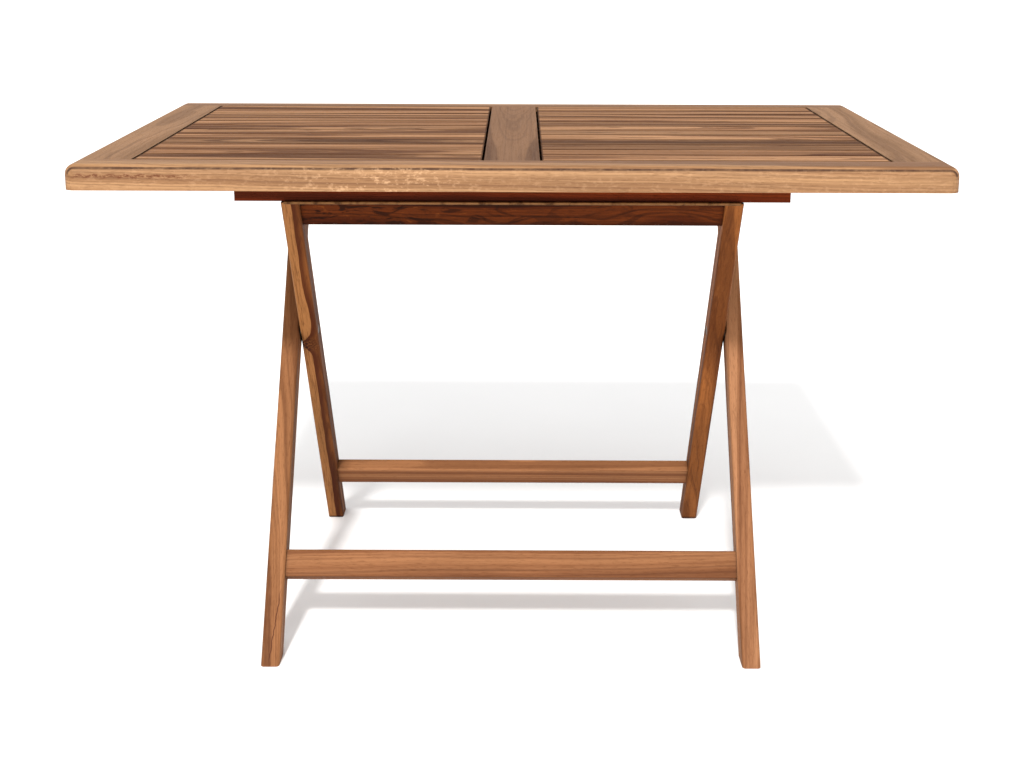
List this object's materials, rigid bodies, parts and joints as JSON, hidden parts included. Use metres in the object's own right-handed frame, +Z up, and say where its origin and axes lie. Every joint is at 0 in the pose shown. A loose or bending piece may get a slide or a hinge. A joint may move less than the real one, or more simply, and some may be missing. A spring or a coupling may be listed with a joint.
{
  "type": "folding picnic table",
  "caption": "Rectangular slatted hardwood table that folds: a framed slat top on two crossed leg frames, hinged at the front batten and pivoting at the crossing",
  "frame": {"origin": "centre of the footprint on the floor", "axes": "+X to the right along the length of the top, +Y to the rear, +Z up; the front edge of the top faces -Y"},
  "size_m": [1.21, 0.8, 0.755],
  "materials": {
    "top_rail_wood": "oiled",
    "slat_wood": "oiled",
    "leg_wood": "oiled",
    "cross_rail_wood": "oiled",
    "batten_wood": "oiled",
    "hinge_brass": "satin",
    "steel_hardware": "satin"
  },
  "bodies": {
    "tabletop": {"front_rail": "top_rail_wood", "rear_rail": "top_rail_wood", "left_end_rail": "top_rail_wood", "right_end_rail": "top_rail_wood", "centre_rail": "top_rail_wood", "left_slat_01": "slat_wood", "left_slat_02": "slat_wood", "left_slat_03": "slat_wood", "left_slat_04": "slat_wood", "left_slat_05": "slat_wood", "left_slat_06": "slat_wood", "left_slat_07": "slat_wood", "left_slat_08": "slat_wood", "left_slat_09": "slat_wood", "left_slat_10": "slat_wood", "left_slat_11": "slat_wood", "left_slat_12": "slat_wood", "right_slat_01": "slat_wood", "right_slat_02": "slat_wood", "right_slat_03": "slat_wood", "right_slat_04": "slat_wood", "right_slat_05": "slat_wood", "right_slat_06": "slat_wood", "right_slat_07": "slat_wood", "right_slat_08": "slat_wood", "right_slat_09": "slat_wood", "right_slat_10": "slat_wood", "right_slat_11": "slat_wood", "right_slat_12": "slat_wood", "front_batten": "batten_wood", "rear_batten": "batten_wood", "left_catch_block": "batten_wood", "right_catch_block": "batten_wood", "hinge_upper_leaf": "hinge_brass", "hinge_pin": "hinge_brass", "hinge_upper_screws": "hinge_brass", "batten_screws": "steel_hardware", "catch_block_screws": "steel_hardware"},
    "inner_frame": {"inner_left_leg": "leg_wood", "inner_right_leg": "leg_wood", "inner_top_rail": "cross_rail_wood", "inner_stretcher": "cross_rail_wood", "hinge_lower_leaf": "hinge_brass", "hinge_lower_screws": "hinge_brass", "left_pivot_bolt": "steel_hardware", "right_pivot_bolt": "steel_hardware", "left_pivot_nut": "steel_hardware", "right_pivot_nut": "steel_hardware", "left_pivot_washer": "steel_hardware", "right_pivot_washer": "steel_hardware"},
    "outer_frame": {"outer_left_leg": "leg_wood", "outer_right_leg": "leg_wood", "outer_top_rail": "cross_rail_wood", "outer_stretcher": "cross_rail_wood"}
  },
  "joints": [
    {"name": "inner_frame_hinge", "type": "hinge", "parent": "tabletop", "child": "inner_frame", "pos_m": [0, -0.212, 0.673], "axis": [-1, 0, 0], "range_deg": [0, 105]},
    {"name": "frame_scissor", "type": "hinge", "parent": "inner_frame", "child": "outer_frame", "pos_m": [0, -0.011, 0.432], "axis": [1, 0, 0], "range_deg": [0, 61]}
  ],
  "couplings": [
    {"joint": "frame_scissor", "follows": "inner_frame_hinge", "ratio": 0.58}
  ]
}
